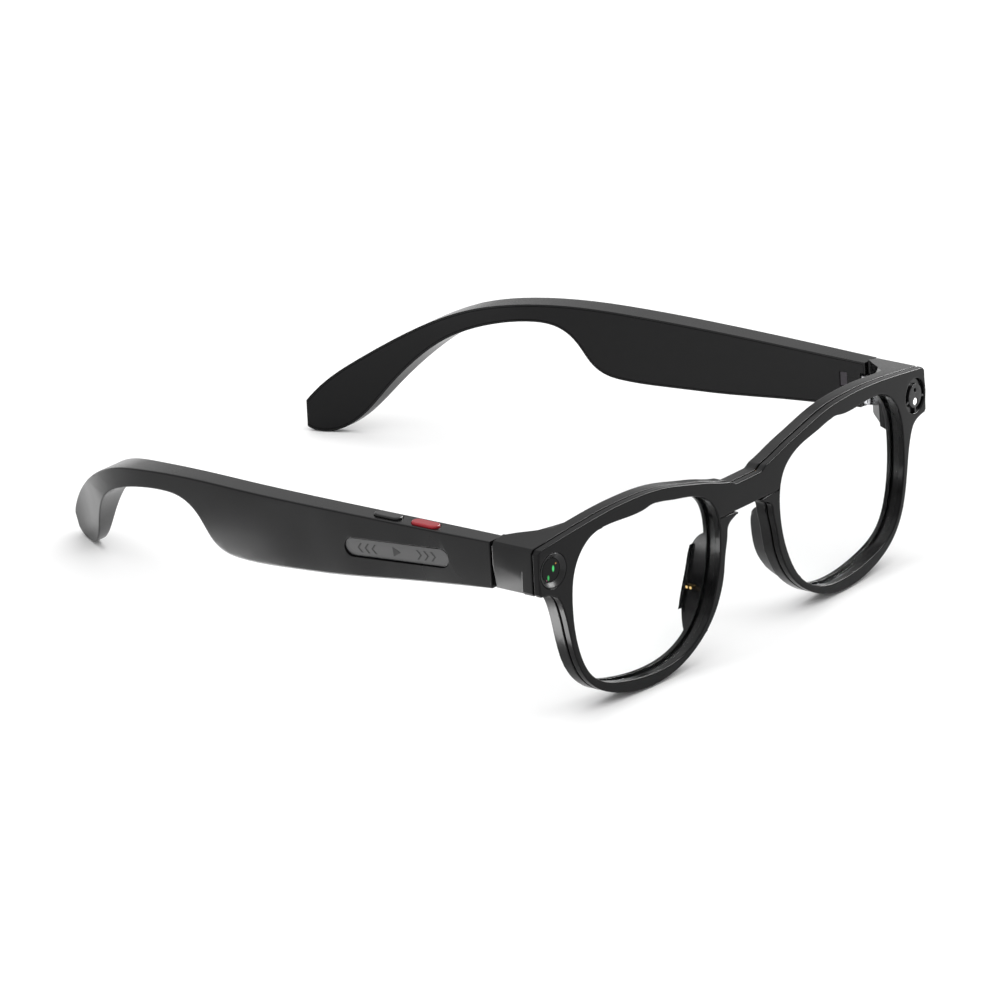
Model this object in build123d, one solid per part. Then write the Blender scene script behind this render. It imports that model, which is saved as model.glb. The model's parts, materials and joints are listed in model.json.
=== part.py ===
"""Camera smart glasses: full-rim front, two folding electronics temples, in mm.

Everything is modelled in the wearer's frame: x to the wearer's left, y from the face of the
bezel back towards the ears, z up, with z = 0 at the top corners of the front's end pieces.
The finished set is then leaned back and set down so that the rims and the temple tips rest
on the plane z = 0, with the origin at the bottom centre of the whole.
"""
import os
from math import hypot, sqrt

from build123d import *

# ------------------------------------------------------------------ driving dimensions (mm)
WRAP_RADIUS = 725.0        # face-form curve of the front, about a vertical axis
STAND_LEAN = 3.0           # degrees the front leans back when the glasses stand open
HALF_WIDTH = 73.0          # centre line to the outer face of an end piece
BEZEL_THICK = 1.6
GROOVE = 0.5               # shadow groove between bezel and rear frame
RIM_DEPTH = 5.1            # bezel face to the back of the rims
LENS_FRONT = 1.7           # depth of the lens face behind the bezel face
LENS_THICK = 2.2
LENS_SEAT = 0.75           # how far a lens reaches under the rim
END_BLOCK_BACK = 17.0      # back of the hinge blocks
TEMPLE_FRONT = 17.45       # front of the temples, across the hinge gap
PAD_DEPTH = 9.2            # back of the nose pads
WALL = 1.0                 # temple shell wall
COVER_THICK = 1.0          # temple inner cover
SEAM = 0.05                # gap round an inset piece
CREASE_DRAFT = 9.0         # degrees the side faces lean in below the crease
CREASE_LEAN = 0.158        # the same lean as a slope

MODULE_X = 68.4            # camera and indicator centres
MODULE_Z = -5.7
RING_R = 4.1
GLASS_R = 2.85

HINGE_X = 68.9
HINGE_Y = 17.25
HINGE_TOP = -3.2
HINGE_LOW = -9.6
BARREL_R = 1.5
PIN_R = 0.6
LEAF_IN = 69.25            # the hinge leaves are flat strips between these two planes
LEAF_OUT = 70.35

BUTTON_X = 71.4
BUTTON_WIDE = 3.0
BUTTON_LONG = 7.6
RED_Y = 36.9
BLACK_Y = 47.7

# ------------------------------------------------------------------ outline points (x, z)
BROW = [(6.8, -3.1), (10.7, -2.1), (14.3, -1.0), (20.5, 0.5), (28.3, 2.3), (34.0, 3.1),
        (40.5, 3.35), (48.0, 3.15), (56.0, 2.4), (64.0, 1.35), (72.2, 0.1)]
UNDERSIDE = [(72.4, -11.0), (69.8, -11.35), (67.6, -12.3), (66.1, -14.5), (64.9, -18.0),
             (63.9, -22.5), (62.9, -26.7), (61.5, -30.7), (59.2, -34.5), (55.8, -37.7),
             (51.0, -40.2), (45.0, -42.0), (37.5, -42.8), (30.0, -42.0), (23.5, -39.7),
             (18.4, -36.5), (14.6, -32.8), (12.1, -28.8), (10.5, -24.5), (9.6, -19.6),
             (8.6, -15.4), (7.0, -12.4), (4.8, -10.95), (0.0, -10.6)]
OPENING = [(36.0, -0.2), (48.0, -0.35), (56.0, -1.6), (60.6, -6.2), (62.5, -15.5),
           (61.2, -26.5), (57.0, -34.4), (47.0, -38.6), (35.0, -39.9), (25.0, -38.4),
           (18.3, -34.2), (14.0, -27.4), (11.4, -15.5), (13.6, -6.5), (19.6, -2.75), (27.5, -1.15)]

# temple side view (y, z): along the top, round the tip and back along the bottom
TEMPLE_SIDE = [(48.0, 0.0), (88.0, -0.25), (101.0, -0.5), (111.0, -1.1), (121.3, -2.3),
               (129.4, -3.9), (137.5, -6.8), (145.8, -11.3), (153.0, -16.0), (159.3, -20.7),
               (164.2, -25.8), (166.3, -30.2), (165.0, -33.4), (161.8, -34.63), (158.0, -34.1),
               (154.9, -32.3), (151.8, -29.2), (147.4, -23.3), (142.1, -17.1), (135.8, -11.8),
               (128.6, -8.5), (121.5, -6.7), (114.5, -5.8), (108.0, -6.3), (104.2, -8.2),
               (101.3, -11.2), (98.8, -14.2), (95.3, -16.3), (90.0, -17.1), (82.0, -17.0),
               (73.0, -16.4), (60.9, -15.5), (43.8, -13.6), (26.2, -11.9)]
# temple top view (x, y): outer and inner faces, front to tip
TEMPLE_OUTER = [(73.0, 16.0), (73.9, 37.0), (74.5, 58.0), (74.7, 76.0), (74.0, 95.0),
                (72.4, 111.0), (70.7, 122.0), (67.9, 132.0), (63.6, 141.0), (58.2, 149.0),
                (52.6, 157.0), (46.0, 168.5)]
TEMPLE_INNER = [(68.2, 16.0), (68.5, 37.0), (68.9, 58.0), (68.9, 76.0), (68.2, 95.0),
                (66.4, 111.0), (64.4, 120.5), (61.5, 129.0), (57.8, 136.5), (52.8, 144.5),
                (47.4, 153.0), (40.6, 165.0)]
CREASE_FRONT = (17.0, -5.3)
CREASE_BACK = (95.0, -10.6)

parts = {}


# ------------------------------------------------------------------ helpers
def face_y(x):
    """Depth of the bezel's face at x."""
    return WRAP_RADIUS - sqrt(WRAP_RADIUS ** 2 - x ** 2)


def shift(points, distance):
    """Move each point sideways off its curve, to the left of the direction of travel."""
    moved = []
    last = len(points) - 1
    for i, (a, b) in enumerate(points):
        before = points[max(i - 1, 0)]
        after = points[min(i + 1, last)]
        da = after[0] - before[0]
        db = after[1] - before[1]
        size = hypot(da, db)
        moved.append((a - distance * db / size, b + distance * da / size))
    return moved


def closed_face(curves):
    """Face inside a closed run of curves."""
    return make_face([edge for curve in curves for edge in curve.edges()])


def front_face(curves):
    """Face in the plane y = 0 from curves drawn as (x, z)."""
    return Plane.XZ * closed_face(curves)


def through(face):
    """Prism of a front face, well past both sides of the frame."""
    return extrude(face, amount=40, both=True)


def slab(front, back):
    """Curved layer of the front, between two depths behind the bezel's face."""
    ring = Cylinder(WRAP_RADIUS - front, 140) - Cylinder(WRAP_RADIUS - back, 140)
    return Pos(0, WRAP_RADIUS, -20) * ring


def block(x0, x1, y0, y1, z0, z1):
    """Box between the given limits."""
    return Pos((x0 + x1) / 2, (y0 + y1) / 2, (z0 + z1) / 2) * Box(x1 - x0, y1 - y0, z1 - z0)


def rod(radius, x, y, z0, z1):
    """Upright cylinder."""
    return Pos(x, y, (z0 + z1) / 2) * Cylinder(radius, z1 - z0)


def flip(shape):
    """The same shape on the wearer's other side."""
    return mirror(shape, about=Plane.YZ)


def both(shape):
    """A shape with its mirror image."""
    return shape + flip(shape)


# ------------------------------------------------------------------ front outlines
def outline(inset=0.0):
    """Outline of the front, drawn in by inset all round."""
    brow = shift(BROW, -inset)
    under = shift(UNDERSIDE, -inset)
    side = HALF_WIDTH - inset
    dip = -4.15 - inset
    under[-1] = (0.0, UNDERSIDE[-1][1] + inset)
    half = [
        Line((0, dip), (4.2, dip)),
        Spline((4.2, dip), brow[0], tangents=[(1, 0), (1, 0.25)]),
        Spline(brow),
        Line(brow[-1], (side, -0.7)),
        Line((side, -0.7), (side, -10.3)),
        Line((side, -10.3), under[0]),
        Spline(under, tangents=[(-1, 0), (-1, 0)]),
    ]
    return front_face(half + [mirror(edge, about=Plane.YZ) for edge in half])


def opening(grow=0.0):
    """Lens opening on the wearer's left, enlarged by grow all round."""
    ring = OPENING[-1:] + OPENING + OPENING[:1]
    points = shift(ring, grow)[1:-1]
    return front_face([Spline(points, periodic=True)])


def openings(grow=0.0):
    """Both lens openings as one prism."""
    return both(through(opening(grow)))


def module_frame(sign):
    """Placement on an end piece: local z points straight out of the bezel's face."""
    lean = MODULE_X / WRAP_RADIUS
    out = (sign * lean, -sqrt(1 - lean ** 2), 0)
    origin = (sign * MODULE_X, face_y(MODULE_X), MODULE_Z)
    return Plane(origin=origin, x_dir=(out[1] * -1, out[0], 0), z_dir=out)


CAMERA_AT = module_frame(-1)
LIGHT_AT = module_frame(1)


def disc(radius, top, bottom):
    """Cylinder in module coordinates, between two heights."""
    return Pos(0, 0, (top + bottom) / 2) * Cylinder(radius, top - bottom)


# ------------------------------------------------------------------ bezel
bezel = through(outline()) & slab(0, BEZEL_THICK)
bezel -= openings()
for place in (CAMERA_AT, LIGHT_AT):
    bezel -= place * disc(RING_R + SEAM, 2, -4)
parts["front_bezel"] = bezel

# ------------------------------------------------------------------ rear frame
seat = BEZEL_THICK + GROOVE
core = through(outline(0.7)) & slab(BEZEL_THICK, seat)
rims = through(outline()) & slab(seat, RIM_DEPTH)

block_plan = closed_face([Polyline(
    (58.0, 5.0), (HALF_WIDTH, 5.0), (HALF_WIDTH, END_BLOCK_BACK), (68.7, END_BLOCK_BACK),
    (68.7, 16.3), (67.0, 14.4), (64.2, 10.6), (60.8, 8.4), (58.0, 7.2), close=True)])
end_block = through(outline()) & (Pos(0, 0, -30) * extrude(block_plan, amount=40))
end_block -= through(opening(0.9))
end_block &= slab(seat, 40)
under_block = Plane.YZ * closed_face([Polyline(
    (7.8, -13.6), (11.0, -12.4), (END_BLOCK_BACK + 1, -11.2), (END_BLOCK_BACK + 1, -50), (7.8, -50),
    close=True)])
end_block -= extrude(under_block, amount=80)
lower_side = Pos(HALF_WIDTH + 5, 15, CREASE_FRONT[1] - 20) * Box(10, 60, 40)
pivot = Pos(HALF_WIDTH, 0, CREASE_FRONT[1])
end_block -= pivot * Rot(0, CREASE_DRAFT, 0) * pivot.inverse() * lower_side

# nose pads: the nose side of each rim carried back, leaning out, with a rounded side view
pad_nose = [(8.8, -15.0), (9.8, -19.6), (10.7, -24.5), (12.3, -28.8), (15.2, -33.0), (18.8, -36.4)]
pad_lens = [(20.6, -35.6), (17.2, -32.4), (14.1, -27.6), (12.2, -21.5), (11.5, -15.0)]
pad_face = front_face([
    Spline(pad_nose), Line(pad_nose[-1], pad_lens[0]), Spline(pad_lens),
    Line(pad_lens[-1], pad_nose[0])])
pad = Pos(0, RIM_DEPTH - 1, 0) * extrude(pad_face, amount=8, dir=(0.22, 1, 0))
pad_side = Plane.YZ * closed_face([
    Spline((3.0, -14.6), (6.0, -15.4), (8.2, -18.0), (PAD_DEPTH - 0.2, -22.4), (PAD_DEPTH, -27.3),
           (8.5, -31.6), (6.4, -34.8), (3.0, -36.8)),
    Line((3.0, -36.8), (3.0, -14.6))])
pad &= extrude(pad_side, amount=40)

rear = core + rims + both(end_block) + both(pad)
rear -= openings() & slab(-1, RIM_DEPTH + 3)
rear -= openings(LENS_SEAT + SEAM) & slab(-1, LENS_FRONT + LENS_THICK + SEAM)

# cavities behind the camera and the indicator, and the flex channel along the brow
for place in (CAMERA_AT, LIGHT_AT):
    rear -= place * (Pos(0, 0, -4.3) * Box(6.4, 6.4, 6.0))

flex_high = shift(BROW[:-2], -0.9)
flex_low = shift(BROW[:-2], -1.9)


def flex_band(high, low):
    """Strip under the brow, from end piece to end piece."""
    half = front_face([
        Line((0, -5.05), high[0]), Spline(high), Line(high[-1], low[-1]), Spline(low),
        Line(low[0], (0, -6.05)), Line((0, -6.05), (0, -5.05))])
    return both(through(half))


rear -= flex_band(flex_high, flex_low) & slab(BEZEL_THICK - 0.1, BEZEL_THICK + 0.4)

# hinge pockets: a slot for the leaf, and room for the knuckles, open underneath
barrel_room = rod(BARREL_R + 0.3, HINGE_X, HINGE_Y, -30, HINGE_TOP + 0.3)
leaf_slot = block(LEAF_IN - SEAM, LEAF_OUT + SEAM, 12.0, HINGE_Y, HINGE_LOW - SEAM, HINGE_TOP + SEAM)
rear -= both(barrel_room + leaf_slot)

# seat of the two charging contacts in the wearer's right nose pad
contact_pins = [Pos(-15.0, y, -27.0) * Rot(0, 90, 0) * Cylinder(0.35, 1.6) for y in (6.0, 7.1)]
contacts = Compound(children=contact_pins)
for pin in contact_pins:
    rear -= pin
parts["rear_frame"] = rear

# ------------------------------------------------------------------ lenses
lens = through(opening(LENS_SEAT)) & slab(LENS_FRONT, LENS_FRONT + LENS_THICK)
parts["left_lens"] = lens
parts["right_lens"] = flip(lens)

parts["front_flex_cable"] = flex_band(shift(flex_high, -SEAM), shift(flex_low, SEAM)) & slab(
    BEZEL_THICK + 0.02, BEZEL_THICK + 0.32)
parts["charging_contacts"] = contacts

# ------------------------------------------------------------------ camera, wearer's right
dish = Pos(0, 0, -0.4) * Cone(GLASS_R + SEAM, RING_R - 0.15, 0.8)
camera_ring = disc(RING_R, 0, -BEZEL_THICK) - disc(GLASS_R + SEAM, 1, -2) - dish
parts["camera_ring"] = CAMERA_AT * camera_ring
parts["camera_cover_glass"] = CAMERA_AT * disc(GLASS_R, -0.8, -1.5)
barrel = disc(2.6, -1.65, -4.0) - disc(1.7, -1.5, -3.2)
parts["camera_lens_barrel"] = CAMERA_AT * barrel
parts["camera_lens_element"] = CAMERA_AT * disc(1.65, -1.75, -3.15)
parts["camera_sensor_housing"] = CAMERA_AT * (Pos(0, 0, -5.2) * Box(6.0, 6.0, 2.3))
parts["camera_board"] = CAMERA_AT * (Pos(0, 0, -6.65) * Box(6.2, 6.2, 0.5))

# ------------------------------------------------------------------ indicator, wearer's left
MIC_UP = 1.4
LED_UP = -1.4
surround = disc(RING_R, -0.8, -BEZEL_THICK) - disc(GLASS_R + SEAM, 1, -2)
for angle in (195, 270, 345):
    rib = Rot(0, 0, angle) * (Pos((RING_R + GLASS_R) / 2 + 0.02, 0, -0.5) * Box(1.15, 0.6, 0.7))
    surround += rib
parts["indicator_surround"] = LIGHT_AT * surround
indicator_disc = disc(GLASS_R, -0.05, -BEZEL_THICK)
indicator_disc -= Pos(0, MIC_UP, 0) * disc(0.5, 1, -2)
indicator_disc -= Pos(0, LED_UP, 0) * disc(0.95, 1, -2)
parts["indicator_disc"] = LIGHT_AT * indicator_disc
parts["indicator_light_guide"] = LIGHT_AT * (Pos(0, LED_UP, 0) * disc(0.9, -0.15, -3.4))
parts["indicator_emitter"] = LIGHT_AT * (Pos(0, LED_UP, -3.8) * Box(1.8, 1.8, 0.7))
parts["front_microphone"] = LIGHT_AT * (Pos(0, MIC_UP, -3.5) * Box(2.4, 2.0, 1.3))
parts["indicator_board"] = LIGHT_AT * (Pos(0, 0, -4.5) * Box(6.0, 6.0, 0.6))

# ------------------------------------------------------------------ hinges
height = HINGE_TOP - HINGE_LOW
ear = 1.95
knuckle_low = HINGE_LOW + ear + 0.1
knuckle_top = HINGE_TOP - ear - 0.1
pin_hole = rod(PIN_R + 0.05, HINGE_X, HINGE_Y, -20, 5)

front_leaf = block(LEAF_IN, LEAF_OUT, 12.1, HINGE_Y, HINGE_LOW, HINGE_TOP)
front_leaf += rod(BARREL_R, HINGE_X, HINGE_Y, HINGE_LOW, HINGE_TOP)
front_leaf -= rod(BARREL_R + 0.3, HINGE_X, HINGE_Y, HINGE_LOW + ear, HINGE_TOP - ear)
front_leaf -= rod(PIN_R, HINGE_X, HINGE_Y, -20, 5)
parts["left_hinge_front_leaf"] = front_leaf
parts["right_hinge_front_leaf"] = flip(front_leaf)

rear_leaf = rod(BARREL_R, HINGE_X, HINGE_Y, knuckle_low, knuckle_top)
rear_leaf += block(LEAF_IN, LEAF_OUT, HINGE_Y, 20.0, knuckle_low, knuckle_top)
rear_leaf += block(LEAF_IN, LEAF_OUT, 19.4, 22.4, HINGE_LOW + 0.6, HINGE_TOP - 0.4)
rear_leaf -= pin_hole
parts["left_hinge_temple_leaf"] = rear_leaf
parts["right_hinge_temple_leaf"] = flip(rear_leaf)

screw = rod(PIN_R, HINGE_X, HINGE_Y, HINGE_LOW, HINGE_TOP)
screw += rod(1.1, HINGE_X, HINGE_Y, HINGE_LOW - 0.6, HINGE_LOW)
screw -= block(HINGE_X - 1.2, HINGE_X + 1.2, HINGE_Y - 0.15, HINGE_Y + 0.15,
               HINGE_LOW - 0.7, HINGE_LOW - 0.3)
parts["hinge_screws"] = Compound(children=[screw, flip(screw)])


# ------------------------------------------------------------------ temple body
def side_prism(inset):
    """Prism of the temple's side view, drawn in by inset all round."""
    curve = shift([(TEMPLE_FRONT, 0.0)] + TEMPLE_SIDE + [(TEMPLE_FRONT, -11.15)], -inset)
    start = TEMPLE_FRONT + inset
    curve[0] = (start, -inset)
    curve[-1] = (start, curve[-1][1])
    face = closed_face([Spline(curve), Line(curve[-1], curve[0])])
    return Pos(30, 0, 0) * extrude(Plane.YZ * face, amount=50)


def ribbon(outer, inner):
    """Face in top view between two long curves."""
    return closed_face([
        Spline(outer), Line(outer[-1], inner[-1]), Spline(inner), Line(inner[0], outer[0])])


def top_prism(outer, inner):
    """Upright prism of a top view."""
    return Pos(0, 0, -45) * extrude(ribbon(outer, inner), amount=60)


def drafted(inset):
    """Room inside the outer side face: upright above the crease, leaning in below it."""
    slope = (CREASE_BACK[1] - CREASE_FRONT[1]) / (CREASE_BACK[0] - CREASE_FRONT[0])
    crease = Plane(origin=(0, *CREASE_FRONT), x_dir=(1, 0, 0), z_dir=(0, -slope, 1))

    def layer(extra):
        outer = [(x, y - CREASE_FRONT[0]) for x, y in shift(TEMPLE_OUTER, inset + extra)]
        far = [(x - 24, y - CREASE_FRONT[0]) for x, y in TEMPLE_INNER]
        return ribbon(outer, far)

    depth = 40
    upper = extrude(crease * layer(0), amount=30)
    lower = loft([crease * layer(0), crease * Pos(0, 0, -depth) * layer(depth * CREASE_LEAN)],
                 ruled=True)
    return upper + lower


def temple_form(inset, outer_wall, inner_wall):
    """The temple's solid form, drawn in at the edges, the outer face and the inner face."""
    outer = shift(TEMPLE_OUTER, outer_wall)
    inner = shift(TEMPLE_INNER, -inner_wall)
    return side_prism(inset) & top_prism(outer, inner) & drafted(outer_wall)


temple = temple_form(0, 0, 0)
cover_curve = shift(TEMPLE_INNER, -COVER_THICK)
cover = side_prism(0.5) & top_prism(cover_curve, TEMPLE_INNER)
cover_seat = side_prism(0.5 - SEAM) & top_prism(
    shift(TEMPLE_INNER, -COVER_THICK - SEAM), shift(TEMPLE_INNER, 3.0))
cavity = temple_form(WALL + 0.2, WALL, COVER_THICK) & block(60, 80, 26.5, 99.0, -40, 10)

temple_leaf_room = block(LEAF_IN - SEAM, LEAF_OUT + SEAM, HINGE_Y, 20.0,
                         knuckle_low - SEAM, knuckle_top + SEAM)
temple_leaf_room += block(LEAF_IN - SEAM, LEAF_OUT + SEAM, 19.4 - SEAM, 22.4 + SEAM,
                          HINGE_LOW + 0.6 - SEAM, HINGE_TOP - 0.4 + SEAM)
shell = temple - cover_seat - cavity - barrel_room - temple_leaf_room
cover -= barrel_room

# speaker slot in the underside, with its grille
shell -= block(70.3, 71.9, 82.5, 93.5, -20, -10)
grille = block(70.35, 71.85, 82.55, 93.45, -16.6, -16.0)
for i in range(9):
    grille -= rod(0.35, 71.1, 84.0 + i, -20, -10)
speaker = block(70.1, 72.3, 83.0, 94.0, -14.2, -6.0)
speaker = fillet(speaker.edges().filter_by(Axis.X), 1.0)

# ------------------------------------------------------------------ right temple, built on the left
# the touch pad lies in a shallow facet along the crease of the side face
pad_out = (1, -0.031, -0.079)
pad_plane = Plane(origin=(73.85, 43.8, -7.1), x_dir=(0.026, 1, -0.068), z_dir=pad_out)
touch_hole = pad_plane * Pos(0, 0, -0.55) * extrude(SlotOverall(29.7, 4.6), amount=3)
touch_pad = pad_plane * Pos(0, 0, -0.5) * extrude(SlotOverall(29.4, 4.3), amount=0.5)
touch_film = pad_plane * Pos(0, 0, -1.1) * extrude(SlotOverall(27.0, 3.4), amount=0.15)


def button(y):
    """Raised pill button with end tabs under the wall and a stem."""
    cap = extrude(SlotOverall(BUTTON_LONG, BUTTON_WIDE, rotation=90), amount=1.9)
    cap = fillet(cap.faces().sort_by(Axis.Z)[-1].edges(), 0.4)
    body = Pos(0, 0, -1.25) * cap
    body += Pos(0, 0, -1.45) * Box(2.4, BUTTON_LONG + 1.0, 0.4)
    body += Pos(0, 0, -1.85) * Cylinder(0.6, 0.5)
    return Pos(BUTTON_X, y, 0) * body


button_hole = extrude(SlotOverall(BUTTON_LONG + 0.24, BUTTON_WIDE + 0.24, rotation=90), amount=4)
right_shell = shell - touch_hole
for y in (RED_Y, BLACK_Y):
    right_shell -= Pos(BUTTON_X, y, -2) * button_hole
switches = [block(70.2, 72.6, y - 1.6, y + 1.6, -3.6, -2.45) for y in (RED_Y, BLACK_Y)]
main_board = block(70.1, 70.9, 27.5, 59.5, -10.3, -4.3)

# ------------------------------------------------------------------ left temple only
sensor_hole = block(60, 70.5, 22.95, 25.05, -6.95, -3.45)
hinge_recess = top_prism(shift(TEMPLE_INNER, -0.2), shift(TEMPLE_INNER, 3))
hinge_recess &= block(60, 75, 10, 22.95, -6.6, -4.2)
left_cover = cover - sensor_hole - hinge_recess
left_shell = shell - sensor_hole

parts["left_temple_shell"] = left_shell
parts["left_temple_inner_cover"] = left_cover
parts["left_speaker"] = speaker
parts["left_speaker_grille"] = grille
parts["left_battery"] = fillet(
    block(70.2, 72.6, 44.0, 80.5, -11.0, -2.0).edges().filter_by(Axis.Y), 0.8)
parts["left_board"] = block(70.1, 70.8, 28.0, 42.5, -9.5, -2.2)
parts["wear_sensor_window"] = block(68.5, 69.3, 23.0, 25.0, -6.9, -3.5)
parts["wear_sensor"] = block(69.35, 70.4, 23.1, 24.9, -6.7, -3.7)

parts["right_temple_shell"] = flip(right_shell)
parts["right_temple_inner_cover"] = flip(cover)
parts["right_speaker"] = flip(speaker)
parts["right_speaker_grille"] = flip(grille)
parts["right_battery"] = flip(fillet(
    block(70.2, 72.6, 61.5, 81.0, -13.0, -2.0).edges().filter_by(Axis.Y), 0.8))
parts["touch_pad"] = flip(touch_pad)
parts["touch_sensor_film"] = flip(touch_film)
parts["red_button"] = flip(button(RED_Y))
parts["black_button"] = flip(button(BLACK_Y))
parts["button_switches"] = flip(Compound(children=switches))
parts["button_board"] = flip(block(70.1, 72.6, 32.0, 53.5, -3.95, -3.65))
parts["main_board"] = flip(main_board)
parts["processor_shield"] = flip(block(70.95, 72.2, 45.0, 57.5, -9.9, -4.6))
parts["wireless_module"] = flip(block(70.95, 71.9, 29.0, 38.0, -9.4, -4.8))

# ------------------------------------------------------------------ stand it on z = 0
lean = Rot(-STAND_LEAN, 0, 0)
standing = {name: lean * shape for name, shape in parts.items()}
boxes = [shape.bounding_box() for shape in standing.values()]
front_end = min(box.min.Y for box in boxes)
back_end = max(box.max.Y for box in boxes)
floor = min(box.min.Z for box in boxes)
ground = Pos(0, -(front_end + back_end) / 2, -floor)

os.makedirs("parts", exist_ok=True)
for name, shape in standing.items():
    export_step(ground * shape, f"parts/{name}.step")
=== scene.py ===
"""Looks for the camera smart glasses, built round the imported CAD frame. Lengths in metres."""
import json
import math

import bmesh
import bpy
from mathutils import Matrix, Vector


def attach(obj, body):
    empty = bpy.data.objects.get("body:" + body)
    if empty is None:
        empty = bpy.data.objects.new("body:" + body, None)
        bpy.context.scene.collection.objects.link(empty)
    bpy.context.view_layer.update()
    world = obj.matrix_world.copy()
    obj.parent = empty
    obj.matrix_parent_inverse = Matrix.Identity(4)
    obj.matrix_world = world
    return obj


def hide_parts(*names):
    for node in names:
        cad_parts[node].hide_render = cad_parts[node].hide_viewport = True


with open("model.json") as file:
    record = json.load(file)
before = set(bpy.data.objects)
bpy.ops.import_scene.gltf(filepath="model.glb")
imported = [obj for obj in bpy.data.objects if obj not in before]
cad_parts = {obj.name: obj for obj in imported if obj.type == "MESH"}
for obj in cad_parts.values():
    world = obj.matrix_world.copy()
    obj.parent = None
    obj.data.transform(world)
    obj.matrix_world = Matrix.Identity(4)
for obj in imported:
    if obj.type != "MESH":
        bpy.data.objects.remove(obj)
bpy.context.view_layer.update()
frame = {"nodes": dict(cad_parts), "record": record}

MM = 0.001
scene = bpy.context.scene
nodes = frame["nodes"]
bodies = frame["record"]["behaviour"]["bodies"]
body_of = {node: body for body, members in bodies.items() for node in members}
slot_of = {row["node"]: row["material_slot"] for row in frame["record"]["subparts"]}

# ------------------------------------------------------------------ camera
AZIMUTH = math.radians(-53.0)
ELEVATION = math.radians(21.30)
DISTANCE = 2.5
LENS_MM = 395.5
AIM_LEFT = 56.49 * MM          # from the bezel's apex to the middle of the picture
AIM_DOWN = 9.01 * MM
BACK = Vector((math.sin(AZIMUTH) * math.cos(ELEVATION), -math.cos(AZIMUTH) * math.cos(ELEVATION),
               math.sin(ELEVATION)))
RIGHT = Vector((math.cos(AZIMUTH), math.sin(AZIMUTH), 0.0))
UP = BACK.cross(RIGHT)
BEZEL_APEX = Vector((0.0, -81.344, 43.062)) * MM
AIM = BEZEL_APEX - AIM_LEFT * RIGHT - AIM_DOWN * UP

camera_data = bpy.data.cameras.new("camera")
camera_data.lens = LENS_MM
camera_data.sensor_width = 36.0
camera_data.clip_start = 0.1
camera_data.clip_end = 50.0
camera = bpy.data.objects.new("camera", camera_data)
scene.collection.objects.link(camera)
station = BEZEL_APEX + DISTANCE * BACK
level = Matrix((RIGHT, UP, BACK)).transposed()
turn = (-BACK).rotation_difference(AIM - station).to_matrix()
camera.matrix_world = Matrix.Translation(station) @ (turn @ level).to_4x4()
scene.camera = camera

# ------------------------------------------------------------------ the wearer's frame
LEAN = math.radians(3.0)
WRAP_RADIUS = 725.0            # face-form curve of the front, mm
MODULE_X = 68.4                # camera and indicator centres, mm
MODULE_Z = -5.7


def worn(x, y, z):
    """A point given in mm in the wearer's frame, in the row frame in metres."""
    across = y * math.cos(LEAN) + z * math.sin(LEAN)
    up = z * math.cos(LEAN) - y * math.sin(LEAN)
    return BEZEL_APEX + Vector((x, across, up)) * MM


def worn_direction(x, y, z):
    """A direction given in the wearer's frame, in the row frame."""
    return (worn(x, y, z) - worn(0, 0, 0)).normalized()


def behind_face(x, z, depth):
    """A point a given depth, in mm, behind the bezel's curved face."""
    return worn(x, x * x / (2 * WRAP_RADIUS) + depth, z)


# ------------------------------------------------------------------ materials
COLOR_A = 6                    # colour sockets of the Mix node
COLOR_B = 7
COLOR_OUT = 2
ROUGH_SPAN = 0.08
PATCH_SCALE = 45.0
RELIEF_HEIGHT = 0.1 * MM
LENS_GLOSS = 0.25              # share of the edge reflection kept on the clear lens
GLOW_CORE = 0.45               # part of a glint's radius that is at full strength


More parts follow.
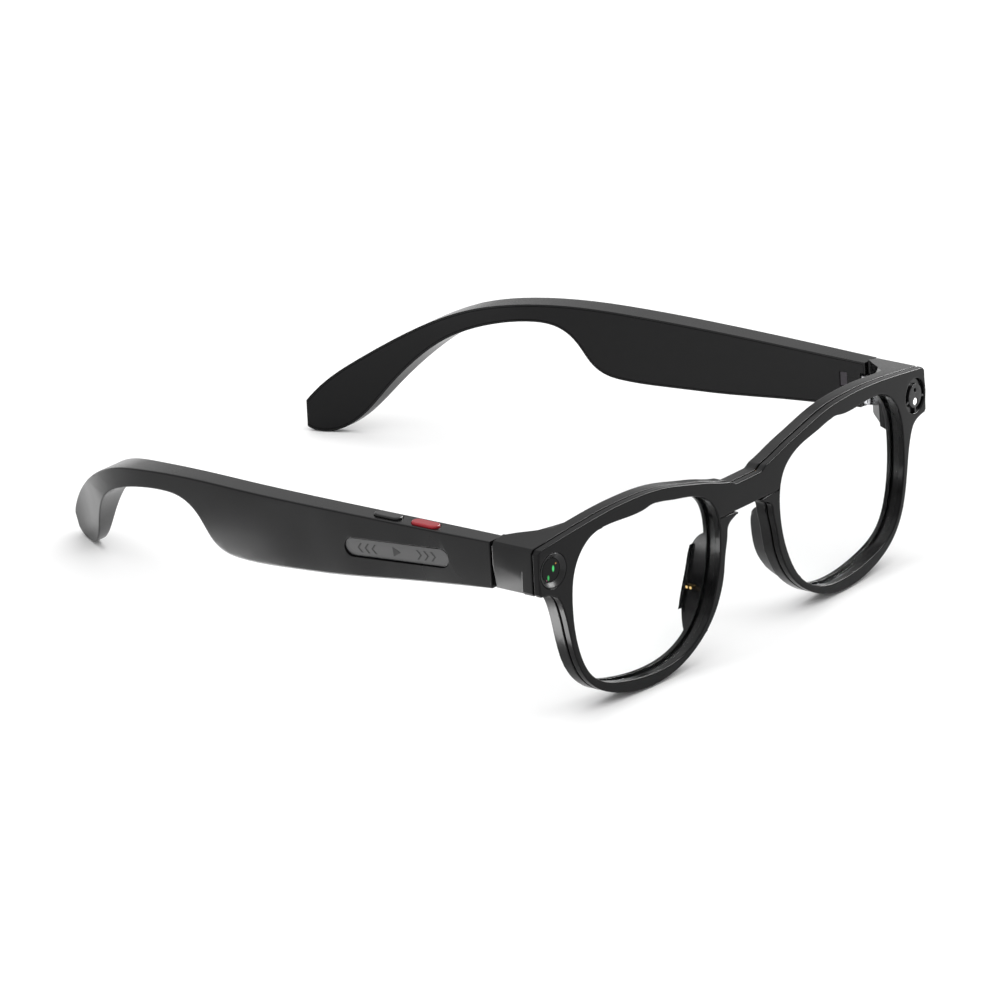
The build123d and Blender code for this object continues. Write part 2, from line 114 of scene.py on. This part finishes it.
def finish(name, color, roughness, specular=0.5, metallic=0.0, grain=900.0, relief=0.02,
           mottle=0.12, bands=None):
    """Moulded or machined surface: mottled colour, uneven roughness and a fine relief.

    bands stretches the relief into lines, one scale for each axis."""
    material = bpy.data.materials.new(name)
    material.use_nodes = True
    tree = material.node_tree
    shader = tree.nodes["Principled BSDF"]
    shader.inputs["Metallic"].default_value = metallic
    shader.inputs["Specular IOR Level"].default_value = specular
    place = tree.nodes.new("ShaderNodeTexCoord")
    fine = tree.nodes.new("ShaderNodeTexNoise")
    fine.inputs["Scale"].default_value = grain
    fine.inputs["Detail"].default_value = 3.0
    broad = tree.nodes.new("ShaderNodeTexNoise")
    broad.inputs["Scale"].default_value = PATCH_SCALE
    broad.inputs["Detail"].default_value = 2.0
    tree.links.new(place.outputs["Object"], broad.inputs["Vector"])
    if bands:
        stretch = tree.nodes.new("ShaderNodeMapping")
        stretch.inputs["Scale"].default_value = bands
        tree.links.new(place.outputs["Object"], stretch.inputs["Vector"])
        tree.links.new(stretch.outputs["Vector"], fine.inputs["Vector"])
    else:
        tree.links.new(place.outputs["Object"], fine.inputs["Vector"])
    tint = tree.nodes.new("ShaderNodeMix")
    tint.data_type = "RGBA"
    tint.inputs[COLOR_A].default_value = (*[c * (1 - mottle) for c in color], 1)
    tint.inputs[COLOR_B].default_value = (*[min(1.0, c * (1 + mottle)) for c in color], 1)
    tree.links.new(broad.outputs["Fac"], tint.inputs[0])
    tree.links.new(tint.outputs[COLOR_OUT], shader.inputs["Base Color"])
    span = tree.nodes.new("ShaderNodeMapRange")
    span.inputs["From Min"].default_value = 0.3
    span.inputs["From Max"].default_value = 0.7
    span.inputs["To Min"].default_value = roughness - ROUGH_SPAN / 2
    span.inputs["To Max"].default_value = roughness + ROUGH_SPAN / 2
    tree.links.new(broad.outputs["Fac"], span.inputs["Value"])
    tree.links.new(span.outputs["Result"], shader.inputs["Roughness"])
    bump = tree.nodes.new("ShaderNodeBump")
    bump.inputs["Strength"].default_value = relief
    bump.inputs["Distance"].default_value = RELIEF_HEIGHT
    tree.links.new(fine.outputs["Fac"], bump.inputs["Height"])
    tree.links.new(bump.outputs["Normal"], shader.inputs["Normal"])
    return material


def clear_lens():
    """Thin clear lens: lets the light through, with a faint coating reflection at the edges."""
    material = bpy.data.materials.new("clear_lens")
    material.use_nodes = True
    tree = material.node_tree
    tree.nodes.clear()
    output = tree.nodes.new("ShaderNodeOutputMaterial")
    through = tree.nodes.new("ShaderNodeBsdfTransparent")
    gloss = tree.nodes.new("ShaderNodeBsdfGlossy")
    gloss.inputs["Roughness"].default_value = 0.02
    mix = tree.nodes.new("ShaderNodeMixShader")
    weight = tree.nodes.new("ShaderNodeLayerWeight")
    weight.inputs["Blend"].default_value = 0.08
    scaled = tree.nodes.new("ShaderNodeMath")
    scaled.operation = "MULTIPLY"
    scaled.inputs[1].default_value = LENS_GLOSS
    place = tree.nodes.new("ShaderNodeTexCoord")
    noise = tree.nodes.new("ShaderNodeTexNoise")
    noise.inputs["Scale"].default_value = 30.0
    tint = tree.nodes.new("ShaderNodeMix")
    tint.data_type = "RGBA"
    tint.inputs[COLOR_A].default_value = (0.990, 0.996, 0.993, 1)
    tint.inputs[COLOR_B].default_value = (0.998, 0.999, 1.0, 1)
    links = tree.links
    links.new(place.outputs["Object"], noise.inputs["Vector"])
    links.new(noise.outputs["Fac"], tint.inputs[0])
    links.new(tint.outputs[COLOR_OUT], through.inputs["Color"])
    links.new(weight.outputs["Fresnel"], scaled.inputs[0])
    links.new(scaled.outputs["Value"], mix.inputs["Fac"])
    links.new(through.outputs["BSDF"], mix.inputs[1])
    links.new(gloss.outputs["BSDF"], mix.inputs[2])
    links.new(mix.outputs["Shader"], output.inputs["Surface"])
    return material


def add_glow(material, spots):
    """Soft coloured emitting spots fixed on a surface, used for painted glints and for a lamp's glow:
    (centre, radii, colour, strength) each.
    """
    tree = material.node_tree
    shader = tree.nodes["Principled BSDF"]
    place = tree.nodes.new("ShaderNodeTexCoord")
    total = None
    for centre, size, color, strength in spots:
        offset = tree.nodes.new("ShaderNodeVectorMath")
        offset.operation = "SUBTRACT"
        offset.inputs[1].default_value = centre
        tree.links.new(place.outputs["Object"], offset.inputs[0])
        squeeze = tree.nodes.new("ShaderNodeVectorMath")
        squeeze.operation = "DIVIDE"
        squeeze.inputs[1].default_value = size
        tree.links.new(offset.outputs["Vector"], squeeze.inputs[0])
        length = tree.nodes.new("ShaderNodeVectorMath")
        length.operation = "LENGTH"
        tree.links.new(squeeze.outputs["Vector"], length.inputs[0])
        fade = tree.nodes.new("ShaderNodeMapRange")
        fade.interpolation_type = "SMOOTHSTEP"
        fade.inputs["From Min"].default_value = GLOW_CORE
        fade.inputs["From Max"].default_value = 1.0
        fade.inputs["To Min"].default_value = 1.0
        fade.inputs["To Max"].default_value = 0.0
        tree.links.new(length.outputs["Value"], fade.inputs["Value"])
        glint = tree.nodes.new("ShaderNodeVectorMath")
        glint.operation = "SCALE"
        glint.inputs[0].default_value = [c * strength for c in color]
        tree.links.new(fade.outputs["Result"], glint.inputs["Scale"])
        if total is None:
            total = glint.outputs["Vector"]
        else:
            join = tree.nodes.new("ShaderNodeVectorMath")
            join.operation = "ADD"
            tree.links.new(total, join.inputs[0])
            tree.links.new(glint.outputs["Vector"], join.inputs[1])
            total = join.outputs["Vector"]
    tree.links.new(total, shader.inputs["Emission Color"])
    shader.inputs["Emission Strength"].default_value = 1.0


# ------------------------------------------------------------------ one look for each material slot
BLACK = (0.0045, 0.0045, 0.0048)
looks = {
    "bezel_black": finish("bezel_black", BLACK, 0.16, specular=0.12, relief=0.01),
    "frame_black": finish("frame_black", BLACK, 0.20, specular=0.16, relief=0.01),
    "temple_black": finish("temple_black", BLACK, 0.25, specular=0.18, relief=0.015),
    "cover_black": finish("cover_black", BLACK, 0.38, specular=0.15, grain=2200.0, relief=0.05),
    "clear_lens": clear_lens(),
    "camera_glass": finish("camera_glass", (0.001, 0.0012, 0.0014), 0.06, specular=0.12),
    "dark_trim": finish("dark_trim", (0.006, 0.006, 0.0065), 0.22, specular=0.3,
                        bands=(40.0, 1.0, 40.0)),
    "light_guide": finish("light_guide", (0.35, 0.35, 0.34), 0.3, grain=1500.0),
    "steel": finish("steel", (0.55, 0.55, 0.57), 0.28, metallic=1.0, bands=(1.0, 1.0, 14.0),
                    relief=0.08),
    "gold": finish("gold", (0.80, 0.55, 0.22), 0.2, metallic=1.0),
    "pad_black": finish("pad_black", (0.012, 0.012, 0.0125), 0.42, specular=0.2, grain=3000.0,
                        relief=0.10),
    "red": finish("red", (0.30, 0.010, 0.018), 0.24, specular=0.4, relief=0.02),
    "button_black": finish("button_black", BLACK, 0.2, specular=0.4),
    "board": finish("board", (0.02, 0.12, 0.05), 0.45, grain=700.0, relief=0.1, mottle=0.3),
    "flex": finish("flex", (0.55, 0.25, 0.06), 0.4, mottle=0.2),
    "pouch": finish("pouch", (0.55, 0.56, 0.58), 0.35, metallic=0.8, grain=400.0, relief=0.2),
    "can": finish("can", (0.62, 0.62, 0.64), 0.3, metallic=1.0, bands=(1.0, 12.0, 1.0), relief=0.1),
    "speaker": finish("speaker", (0.03, 0.03, 0.032), 0.5, grain=1400.0, relief=0.1),
    "mesh": finish("mesh", (0.04, 0.04, 0.042), 0.4, metallic=0.6, grain=2500.0, relief=0.2),
    "sensor": finish("sensor", (0.01, 0.004, 0.012), 0.12, specular=0.5),
}

# ------------------------------------------------------------------ pieces rebuilt with worked edges
WELD = 0.002 * MM
ARC_STEPS = 4
SMOOTH_ANGLE = math.radians(32)
EDGE_COSINE = 0.88             # faces closer in direction than this are left unrounded
NO_LENGTH = 1e-6
FRONT = worn_direction(0, -1, 0)
REAR = worn_direction(0, 1, 0)


def unique(items):
    """The items in order, each once."""
    return list(dict.fromkeys(items))


def border_edges(work, chosen):
    """Sharp edges with a chosen face on one side only."""
    found = []
    for edge in work.edges:
        if len(edge.link_faces) != 2:
            continue
        first, second = edge.link_faces
        if (first in chosen) != (second in chosen) and first.normal.dot(second.normal) < EDGE_COSINE:
            found.append(edge)
    return found


def side_normal(edges, chosen, wanted):
    """Mean normal of the faces on one side of the edges, or a zero vector."""
    total = Vector()
    for edge in edges:
        for face in edge.link_faces:
            if (face in chosen) == wanted:
                total += face.normal
    return total.normalized() if total.length > NO_LENGTH else Vector()


def arc(work, corner, cap, wall, reach):
    """New vertices round a corner, from the wall to the cap."""
    shared = cap.dot(wall)
    into_cap = (cap * shared - wall).normalized() * reach
    into_wall = (wall * shared - cap).normalized() * reach
    steps = [k / ARC_STEPS for k in range(ARC_STEPS + 1)]
    return [work.verts.new(corner + into_wall * (1 - u) ** 2 + into_cap * u ** 2) for u in steps]


def border_strips(border, chosen, rings):
    """Corner lists of the faces that fill the rounding along each border edge."""
    strips = []
    for edge in border:
        a, b = edge.verts
        if a not in rings and b not in rings:
            continue
        owner = next(face for face in edge.link_faces if face in chosen)
        order = [loop.vert for loop in owner.loops]
        if order[(order.index(a) + 1) % len(order)] is not b:
            a, b = b, a
        ring_a = rings.get(a, [a] * (ARC_STEPS + 1))
        ring_b = rings.get(b, [b] * (ARC_STEPS + 1))
        for k in range(ARC_STEPS):
            strips.append([ring_a[k], ring_b[k], ring_b[k + 1], ring_a[k + 1]])
    return strips


def add_face(work, corners):
    """A smooth face on the corners, unless it is a sliver or already there."""
    verts = unique(corners)
    if len(verts) > 2 and work.faces.get(verts) is None:
        work.faces.new(verts).smooth = True


def round_border(work, facing, limit, setback):
    """Rounds the border between the faces that look one way and all the others.

    setback is how far the rounding reaches from the old edge, given a point."""
    chosen = {face for face in work.faces if face.normal.dot(facing) > limit}
    border = border_edges(work, chosen)
    on_border = set(border)
    rings = {}
    for vert in unique(vert for edge in border for vert in edge.verts):
        edges = [edge for edge in vert.link_edges if edge in on_border]
        cap = side_normal(edges, chosen, True)
        wall = side_normal(edges, chosen, False)
        if len(edges) == 2 and cap.length > 0 and wall.length > 0:
            rings[vert] = arc(work, vert.co, cap, wall, setback(vert.co))
    redrawn = []
    for face in unique(face for vert in rings for face in vert.link_faces):
        end = -1 if face in chosen else 0
        redrawn.append((face, [rings[vert][end] if vert in rings else vert for vert in face.verts]))
    strips = border_strips(border, chosen, rings)
    for face, verts in redrawn:
        work.faces.remove(face)
        add_face(work, verts)
    for verts in strips:
        add_face(work, verts)
    for vert in rings:
        if not vert.link_faces:
            work.verts.remove(vert)
    work.normal_update()


def rebuilt(node, borders):
    """Stands for a CAD node: the same form, welded, with the named borders rounded over."""
    mesh = nodes[node].data.copy()
    work = bmesh.new()
    work.from_mesh(mesh)
    bmesh.ops.remove_doubles(work, verts=work.verts, dist=WELD)
    for face in work.faces:
        face.smooth = True
    work.normal_update()
    for facing, limit, setback in borders:
        round_border(work, facing, limit, setback)
    work.to_mesh(mesh)
    work.free()
    for layer in ("custom_normal", "sharp_face", "sharp_edge"):
        if layer in mesh.attributes:
            mesh.attributes.remove(mesh.attributes[layer])
    mesh.set_sharp_from_angle(angle=SMOOTH_ANGLE)
    mesh.materials.clear()
    mesh.materials.append(looks[slot_of[node]])
    piece = bpy.data.objects.new(node + "_look", mesh)
    scene.collection.objects.link(piece)
    shade = piece.modifiers.new("shading", "WEIGHTED_NORMAL")
    shade.keep_sharp = True
    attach(piece, body_of[node])
    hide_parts(node)


def even(size):
    """The same setback, in mm, all along a border."""
    return lambda point: size * MM


PAD_Y = 43.8
PAD_MIDDLE = worn(-73.85, PAD_Y, -7.1)
PAD_OUT = worn_direction(-1, -0.031, -0.079)
PAD_ALONG = worn_direction(-0.026, 1, -0.068)
PAD_UP = PAD_ALONG.cross(PAD_OUT)
PAD_HALF_LONG = 15.6 * MM      # half the pad and a margin
PAD_HALF_HIGH = 3.2 * MM
PAD_LIP = 0.06 * MM
SHELL_EDGE = 0.45 * MM


def shell_setback(point):
    """Soft long edges, with a crisp lip round the touch pad."""
    offset = point - PAD_MIDDLE
    near_pad = (point.x < 0 and abs(offset.dot(PAD_ALONG)) < PAD_HALF_LONG
                and abs(offset.dot(PAD_UP)) < PAD_HALF_HIGH)
    return PAD_LIP if near_pad else SHELL_EDGE


RIGHT_SIDE = Vector((-1, 0, 0))
LEFT_SIDE = Vector((1, 0, 0))
ABOVE = worn_direction(0, 0, 1)
CAMERA_OUT = worn_direction(-MODULE_X / WRAP_RADIUS, -1, 0)
LIGHT_OUT = worn_direction(MODULE_X / WRAP_RADIUS, -1, 0)

# for each node: (facing, how closely the faces look that way, setback)
BORDERS = {
    "front_bezel": [(FRONT, 0.9, even(0.38)), (REAR, 0.9, even(0.12))],
    "rear_frame": [(FRONT, 0.9, even(0.25)), (REAR, 0.85, even(0.35))],
    "left_temple_shell": [(LEFT_SIDE, 0.6, shell_setback)],
    "right_temple_shell": [(RIGHT_SIDE, 0.6, shell_setback)],
    "left_temple_inner_cover": [(RIGHT_SIDE, 0.6, even(0.2))],
    "right_temple_inner_cover": [(LEFT_SIDE, 0.6, even(0.2))],
    "camera_ring": [(CAMERA_OUT, 0.97, even(0.1))],
    "camera_cover_glass": [(CAMERA_OUT, 0.9, even(0.15))],
    "indicator_surround": [(LIGHT_OUT, 0.9, even(0.08))],
    "indicator_disc": [(LIGHT_OUT, 0.9, even(0.12))],
    "indicator_light_guide": [(LIGHT_OUT, 0.9, even(0.12))],
    "touch_pad": [(RIGHT_SIDE, 0.9, even(0.08))],
    "wear_sensor_window": [(RIGHT_SIDE, 0.9, even(0.08))],
    "hinge_screws": [(ABOVE, 0.9, even(0.08))],
}
for hand in ("left", "right"):
    BORDERS[hand + "_lens"] = [(FRONT, 0.9, even(0.15)), (REAR, 0.9, even(0.15))]
    BORDERS[hand + "_hinge_front_leaf"] = [(ABOVE, 0.9, even(0.15))]
    BORDERS[hand + "_hinge_temple_leaf"] = [(ABOVE, 0.9, even(0.12))]
    BORDERS[hand + "_speaker_grille"] = [(-ABOVE, 0.9, even(0.06))]

for name, borders in BORDERS.items():
    rebuilt(name, borders)

for name, node in nodes.items():
    node.data.materials.clear()
    node.data.materials.append(looks[slot_of[name]])


# ------------------------------------------------------------------ touch pad marks
mark_ink = finish("mark_ink", (0.0012, 0.0012, 0.0013), 0.5, specular=0.1)
MARK_RISE = 1.15               # half the height of a mark, mm
MARK_REACH = 1.0               # how far a chevron's tip runs forward
MARK_STROKE = 0.504
MARK_TOP = 0.03                # above the pad's face
MARK_ROOT = -0.05
LEFT_CHEVRONS = (49.6, 51.6, 53.6)
RIGHT_CHEVRONS = (38.2, 36.2, 34.2)
ARROW_BACK = 44.9
ARROW_TIP = 42.7


def chevron(along, toward):
    """One arrow stroke pointing along the pad."""
    inner = along + toward * MARK_STROKE
    tip = along + toward * MARK_REACH
    return [(along, MARK_RISE), (inner, MARK_RISE), (tip + toward * MARK_STROKE, 0.0),
            (inner, -MARK_RISE), (along, -MARK_RISE), (tip, 0.0)]


def on_pad(along, up, out):
    """A point on the touch pad, from mm along it, up it and out of its face."""
    return PAD_MIDDLE + (PAD_ALONG * along + PAD_UP * up + PAD_OUT * out) * MM


def touch_marks(outlines):
    """Thin raised shapes on the touch pad, outlines given as (along, up) in mm."""
    mesh = bpy.data.meshes.new("touch_pad_marks")
    work = bmesh.new()
    for outline in outlines:
        root = [work.verts.new(on_pad(along, up, MARK_ROOT)) for along, up in outline]
        top = [work.verts.new(on_pad(along, up, MARK_TOP)) for along, up in outline]
        work.faces.new(top)
        work.faces.new(root[::-1])
        for i, corner in enumerate(root):
            j = (i + 1) % len(root)
            work.faces.new((corner, root[j], top[j], top[i]))
    bmesh.ops.recalc_face_normals(work, faces=work.faces)
    work.to_mesh(mesh)
    work.free()
    piece = bpy.data.objects.new("touch_pad_marks", mesh)
    scene.collection.objects.link(piece)
    mesh.materials.append(mark_ink)
    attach(piece, "right_temple")


marks = [chevron(at - PAD_Y, 1) for at in LEFT_CHEVRONS]
marks += [chevron(at - PAD_Y, -1) for at in RIGHT_CHEVRONS]
marks.append([(ARROW_BACK - PAD_Y, MARK_RISE), (ARROW_TIP - PAD_Y, 0.0),
              (ARROW_BACK - PAD_Y, -MARK_RISE)])
touch_marks(marks)


# ------------------------------------------------------------------ painted camera glints and indicator light
GLASS_DEPTH = 0.85             # of the camera's glass behind the bezel's face, mm
GLINT_REACH = 0.9 * MM         # how far a glint goes into the glass
LIGHT_DEPTH = 0.15
LIGHT_DOWN = 1.4               # from the indicator's middle to its light guide
LIGHT_RADIUS = 0.95 * MM
LIGHT_REACH = 9 * MM
LIGHT_STRENGTH = 2.2
WHITE = (1.0, 1.0, 1.0)


def glint(across, up, wide, high, color, strength):
    """A painted glint on the camera's glass: an emitting spot that stands in for a coating
    reflection, placed and sized in mm from its middle.
    """
    centre = behind_face(across - MODULE_X, MODULE_Z + up, GLASS_DEPTH)
    return centre, (wide * MM, GLINT_REACH, high * MM), color, strength


# painted reflections: the coloured coating glints on the camera glass are emission in its material,
# not reflections of a lamp
add_glow(looks["camera_glass"], [
    glint(0.85, 0.15, 0.45, 0.95, (0.10, 0.95, 0.25), 0.75),
    glint(-0.80, -1.65, 0.40, 0.80, (0.08, 0.85, 0.20), 0.55),
    glint(1.75, 1.15, 0.28, 0.28, (0.95, 0.45, 0.12), 0.5),
    glint(-1.35, -2.1, 0.22, 0.22, (0.85, 0.25, 0.45), 0.35),
])
lit = behind_face(MODULE_X, MODULE_Z - LIGHT_DOWN, LIGHT_DEPTH)
light_radii = (LIGHT_RADIUS, LIGHT_REACH, LIGHT_RADIUS)
add_glow(looks["light_guide"], [(lit, light_radii, WHITE, LIGHT_STRENGTH)])

# ------------------------------------------------------------------ floor and light
FLOOR_SIZE = 12.0
FLOOR_DROP = 0.2 * MM
SKY = 0.75
bpy.ops.mesh.primitive_plane_add(size=FLOOR_SIZE, location=(0, 0, -FLOOR_DROP))
floor = bpy.context.object
floor.name = "floor"
floor.data.materials.append(finish("floor", (0.97, 0.97, 0.97), 0.9, specular=0.0, mottle=0.01,
                                   relief=0.0))

world = bpy.data.worlds.new("studio")
world.use_nodes = True
background = world.node_tree.nodes["Background"]
background.inputs["Color"].default_value = (1, 1, 1, 1)
background.inputs["Strength"].default_value = SKY
scene.world = world
scene.view_settings.view_transform = "Standard"


def soft_box(name, centre, aim, long_axis, length, width, radiance, glossy_only=True):
    """Rectangular studio light, facing aim, hidden from the camera.

    With glossy_only it shows in reflections and lights nothing else."""
    data = bpy.data.lights.new(name, "AREA")
    data.shape = "RECTANGLE"
    data.size = length
    data.size_y = width
    data.energy = radiance * math.pi * length * width
    light = bpy.data.objects.new(name, data)
    scene.collection.objects.link(light)
    away = (centre - aim).normalized()
    along = (long_axis - long_axis.dot(away) * away).normalized()
    light.matrix_world = (Matrix.Translation(centre)
                          @ Matrix((along, away.cross(along), away)).transposed().to_4x4())
    light.visible_camera = False
    light.visible_diffuse = not glossy_only


MIDDLE = Vector((0, 0, 0.03))
ACROSS = Vector((1, 0, 0))
DEEP = Vector((0, 1, 0))
OVERHEAD_AT = Vector((0, 0, 2.0))
KEY_AT = Vector((0.744, -0.36, 0.56)) * 2.0
KEY_ALONG = Vector((0.675, 0.521, -0.521))
CARD_AT = Vector((-0.092, -0.005, 0.001))
CARD_AIM = Vector((-0.092, -0.005, 0.1))
soft_box("overhead", OVERHEAD_AT, MIDDLE, ACROSS, length=4.0, width=4.0, radiance=0.95,
         glossy_only=False)
soft_box("key_strip", KEY_AT, MIDDLE, KEY_ALONG, length=1.8, width=0.45, radiance=34.0)
soft_box("low_card", CARD_AT, CARD_AIM, DEEP, length=0.13, width=0.030, radiance=15.0)
